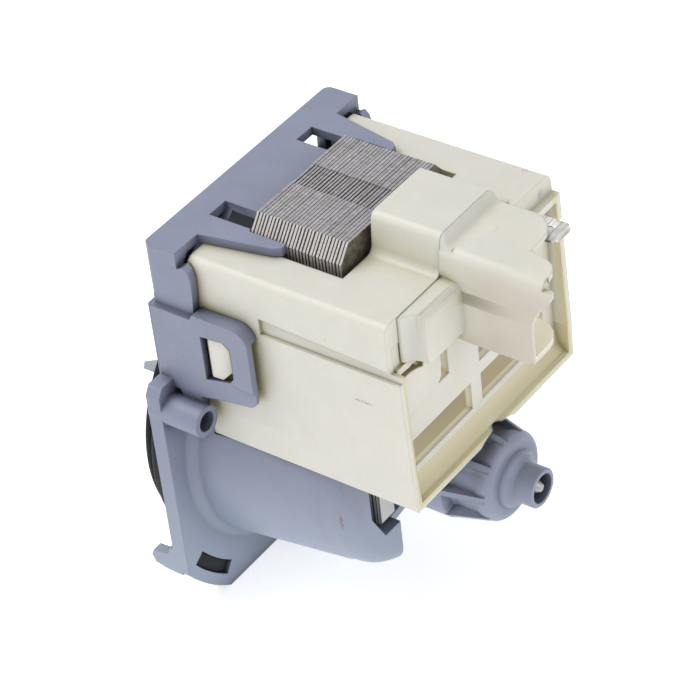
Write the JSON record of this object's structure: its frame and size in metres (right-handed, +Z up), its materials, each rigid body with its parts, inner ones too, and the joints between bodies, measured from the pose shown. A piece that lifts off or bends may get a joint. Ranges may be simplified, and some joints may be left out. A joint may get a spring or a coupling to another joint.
{
  "type": "washer drain pump",
  "caption": "Synchronous drain pump for a washer: flanged body with a hoop bracket, laminated core under a cream coil cover, finned rotor canister, sealing gasket and vaned impeller.",
  "frame": {"origin": "on the pump axis, in the front plane of the mounting flange", "axes": "+Y along the pump axis to the rear (tail nozzle), +Z up to the motor's yoke, +X to one side; the impeller looks along -Y"},
  "size_m": [0.0742, 0.0986, 0.1001],
  "materials": {
    "body_plastic": "moulded blue-grey plastic",
    "cover_plastic": "moulded cream plastic",
    "seal_rubber": "black rubber",
    "disc_rubber": "black rubber",
    "inner_plastic": "light grey moulding",
    "impeller_plastic": "light grey moulding",
    "bush_bronze": "sintered bronze",
    "core_steel": "stacked electrical steel",
    "coil_wire": "enamelled copper wire",
    "fuse_ceramic": "sleeved cut-out",
    "tab_metal": "tinned brass tab",
    "shaft_steel": "ground steel",
    "magnet_ferrite": "sintered ferrite",
    "washer_plastic": "slippery white plastic"
  },
  "bodies": {
    "pump": {"pump_body": "body_plastic", "flange_gasket": "seal_rubber", "front_disc": "disc_rubber", "canister_cap": "inner_plastic", "cap_o_ring": "seal_rubber", "shaft_seal": "seal_rubber", "front_bearing": "bush_bronze", "front_bearing_ring": "seal_rubber", "rear_bearing": "bush_bronze", "rear_bearing_ring": "seal_rubber", "core_stack": "core_steel", "bobbin_near": "cover_plastic", "bobbin_far": "cover_plastic", "winding_near": "coil_wire", "winding_far": "coil_wire", "winding_link": "coil_wire", "thermal_fuse": "fuse_ceramic", "coil_cover": "cover_plastic", "terminal_hood": "cover_plastic", "terminal_tab_far": "tab_metal", "terminal_tab_near": "tab_metal"},
    "rotor": {"rotor_shaft": "shaft_steel", "rotor_hub": "inner_plastic", "rotor_magnet": "magnet_ferrite", "front_thrust_washer": "washer_plastic", "rear_thrust_washer": "washer_plastic", "drive_dog": "inner_plastic"},
    "impeller": {"impeller": "impeller_plastic", "impeller_cap": "impeller_plastic"}
  },
  "joints": [
    {"name": "rotor_spin", "type": "hinge", "parent": "pump", "child": "rotor", "pos_m": [0, 0.0274, 0], "axis": [0, 1, 0], "continuous": true},
    {"name": "impeller_play", "type": "hinge", "parent": "rotor", "child": "impeller", "pos_m": [0, -0.013, 0], "axis": [0, 1, 0], "range_deg": [-118, 118]}
  ]
}
